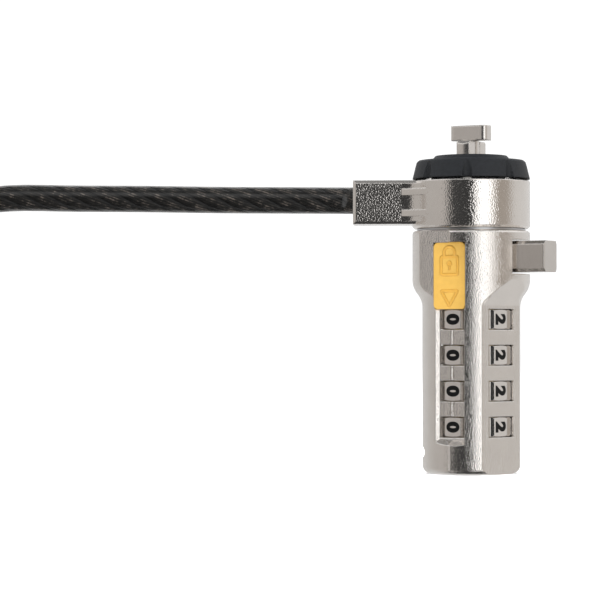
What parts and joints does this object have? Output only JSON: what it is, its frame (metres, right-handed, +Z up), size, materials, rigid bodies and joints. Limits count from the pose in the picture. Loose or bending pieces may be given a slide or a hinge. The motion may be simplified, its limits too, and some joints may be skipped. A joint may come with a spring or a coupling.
{
  "type": "laptop cable lock",
  "caption": "Combination cable lock for a laptop: a barrel with number wheels and a side lever, a T-bar nose for a security slot, a swivelling collar and a coiled steel cable.",
  "frame": {"origin": "on the barrel's axis, at the bottom face of the end cap that the lock stands on", "axes": "+Z up along the barrel's axis to the T-bar, -X along the cable as it leaves the collar, the number line facing mostly -Y and turned 26.5 degrees towards -X"},
  "size_m": [0.1876, 0.0652, 0.0597],
  "materials": {
    "nickel": "satin pearl nickel plate on die-cast zinc, with a fine cast grain",
    "wheel_nickel": "satin nickel plate with black numbers",
    "badge_yellow": "satin yellow with raised marks",
    "rubber": "matte moulded rubber",
    "cable_jacket": "smoke-tinted clear jacket over twisted steel strands",
    "steel": "plain steel",
    "brass": "turned brass"
  },
  "bodies": {
    "housing": {"left_shell": "nickel", "right_shell": "nickel", "end_cap": "nickel", "index_badge": "badge_yellow", "nose_piece": "nickel", "rubber_cap": "rubber", "collar_washer": "steel", "core_tube": "steel", "hub_spacers": "steel", "hub_spring": "steel", "shift_ring": "steel", "detent_spring": "steel", "spindle_bush": "brass", "dowel_pins": "steel"},
    "dial_1": {"dial_wheel_1": "wheel_nickel", "code_hub_1": "brass"},
    "dial_2": {"dial_wheel_2": "wheel_nickel", "code_hub_2": "brass"},
    "dial_3": {"dial_wheel_3": "wheel_nickel", "code_hub_3": "brass"},
    "dial_4": {"dial_wheel_4": "wheel_nickel", "code_hub_4": "brass"},
    "spindle": {"spindle": "nickel", "lever": "nickel", "lever_pin": "steel", "retaining_clip": "steel"},
    "bar": {"locking_bar": "steel"},
    "reset_screw": {"code_reset_screw": "steel"},
    "swivel": {"cable_collar": "nickel", "cable_sleeve": "steel", "cable": "cable_jacket", "cable_coil": "cable_jacket", "cable_tail": "cable_jacket", "loop_sleeve": "steel", "cable_loop": "cable_jacket", "coil_tie": "rubber"}
  },
  "joints": [
    {"name": "dial_1_turn", "type": "hinge", "parent": "housing", "child": "dial_1", "pos_m": [0, 0, 0.0081], "axis": [0, 0, 1], "continuous": true},
    {"name": "dial_2_turn", "type": "hinge", "parent": "housing", "child": "dial_2", "pos_m": [0, 0, 0.0142], "axis": [0, 0, 1], "continuous": true},
    {"name": "dial_3_turn", "type": "hinge", "parent": "housing", "child": "dial_3", "pos_m": [0, 0, 0.0203], "axis": [0, 0, 1], "continuous": true},
    {"name": "dial_4_turn", "type": "hinge", "parent": "housing", "child": "dial_4", "pos_m": [0, 0, 0.0264], "axis": [0, 0, 1], "continuous": true},
    {"name": "lever_turn", "type": "hinge", "parent": "housing", "child": "spindle", "pos_m": [0, 0, 0.037], "axis": [0, 0, 1], "range_deg": [0, 90]},
    {"name": "bar_lift", "type": "slide", "parent": "housing", "child": "bar", "axis": [0.4462, 0.8949, 0], "range_m": [0, 0.00066]},
    {"name": "reset_turn", "type": "hinge", "parent": "housing", "child": "reset_screw", "pos_m": [-0.007, 0, 0.0037], "axis": [-1, 0, 0], "range_deg": [0, 90]},
    {"name": "collar_swivel", "type": "hinge", "parent": "housing", "child": "swivel", "pos_m": [0, 0, 0.0463], "axis": [0, 0, 1], "continuous": true}
  ],
  "couplings": [
    {"joint": "bar_lift", "follows": "lever_turn", "m_per_rad": 0.0004138}
  ]
}
